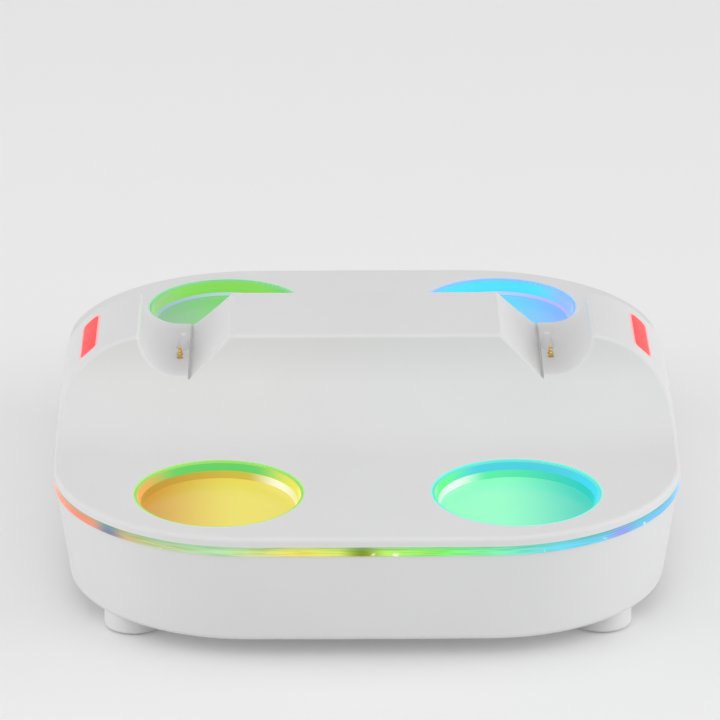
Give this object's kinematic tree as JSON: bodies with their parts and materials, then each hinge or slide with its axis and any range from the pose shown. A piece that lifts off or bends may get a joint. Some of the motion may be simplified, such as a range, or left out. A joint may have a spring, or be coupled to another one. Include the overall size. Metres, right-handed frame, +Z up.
{
  "type": "controller charging dock",
  "caption": "Low white charging dock with lit grip cups on a front and a rear tier, a raised ridge with cradles and sprung contact pins between them, and a glowing band round the body.",
  "frame": {"origin": "middle of the dock on the surface that it stands on", "axes": "+Z up, +Y to the rear where the power inlet is, +X to the right seen from the front"},
  "size_m": [0.147, 0.174, 0.0532],
  "materials": {
    "casing_white": "satin white moulded plastic",
    "band_diffuser": "clear diffuser lit in a sweep of colours",
    "cup_glow_front_left": "glossy dish lit yellow",
    "cup_glow_front_right": "glossy dish lit mint green",
    "cup_glow_rear_left": "glossy dish lit green",
    "cup_glow_rear_right": "glossy dish lit blue",
    "status_red": "lit red window",
    "contact_gold": "gold plated",
    "moulded_black": "black moulded plastic",
    "circuit_board": "green solder mask",
    "lamp_white": "lamp package",
    "ribbon_film": "flat flexible cable",
    "plated_steel": "nickel plated",
    "pad_rubber": "grey silicone"
  },
  "bodies": {
    "root": {"band_leds": "lamp_white", "board_chips": "moulded_black", "board_screws": "plated_steel", "case_screws": "plated_steel", "contact_block_left": "moulded_black", "contact_block_right": "moulded_black", "contact_board_left": "circuit_board", "contact_board_right": "circuit_board", "contact_ribbon_left": "ribbon_film", "contact_ribbon_right": "ribbon_film", "contact_screws": "plated_steel", "cup_leds": "lamp_white", "foot_pad_front_left": "pad_rubber", "foot_pad_front_right": "pad_rubber", "foot_pad_rear_left": "pad_rubber", "foot_pad_rear_right": "pad_rubber", "inlet_shell": "plated_steel", "inlet_tongue": "moulded_black", "light_band": "band_diffuser", "light_cup_front_left": "cup_glow_front_left", "light_cup_front_right": "cup_glow_front_right", "light_cup_rear_left": "cup_glow_rear_left", "light_cup_rear_right": "cup_glow_rear_right", "lower_tub": "casing_white", "main_board": "circuit_board", "pin_barrels_left": "contact_gold", "pin_barrels_right": "contact_gold", "ribbon_sockets": "moulded_black", "status_board_left": "circuit_board", "status_board_right": "circuit_board", "status_leds": "lamp_white", "status_lens_left": "status_red", "status_lens_right": "status_red", "top_shell": "casing_white"},
    "pin_left_front": {"contact_pin_left_front": "contact_gold"},
    "pin_left_rear": {"contact_pin_left_rear": "contact_gold"},
    "pin_right_front": {"contact_pin_right_front": "contact_gold"},
    "pin_right_rear": {"contact_pin_right_rear": "contact_gold"}
  },
  "joints": [
    {"name": "pin_left_front_press", "type": "slide", "parent": "root", "child": "pin_left_front", "axis": [0, 0, -1], "range_m": [0, 0.0009], "stiffness_N_per_m": 400, "springref_m": -0.0006},
    {"name": "pin_left_rear_press", "type": "slide", "parent": "root", "child": "pin_left_rear", "axis": [0, 0, -1], "range_m": [0, 0.0009], "stiffness_N_per_m": 400, "springref_m": -0.0006},
    {"name": "pin_right_front_press", "type": "slide", "parent": "root", "child": "pin_right_front", "axis": [0, 0, -1], "range_m": [0, 0.0009], "stiffness_N_per_m": 400, "springref_m": -0.0006},
    {"name": "pin_right_rear_press", "type": "slide", "parent": "root", "child": "pin_right_rear", "axis": [0, 0, -1], "range_m": [0, 0.0009], "stiffness_N_per_m": 400, "springref_m": -0.0006}
  ]
}
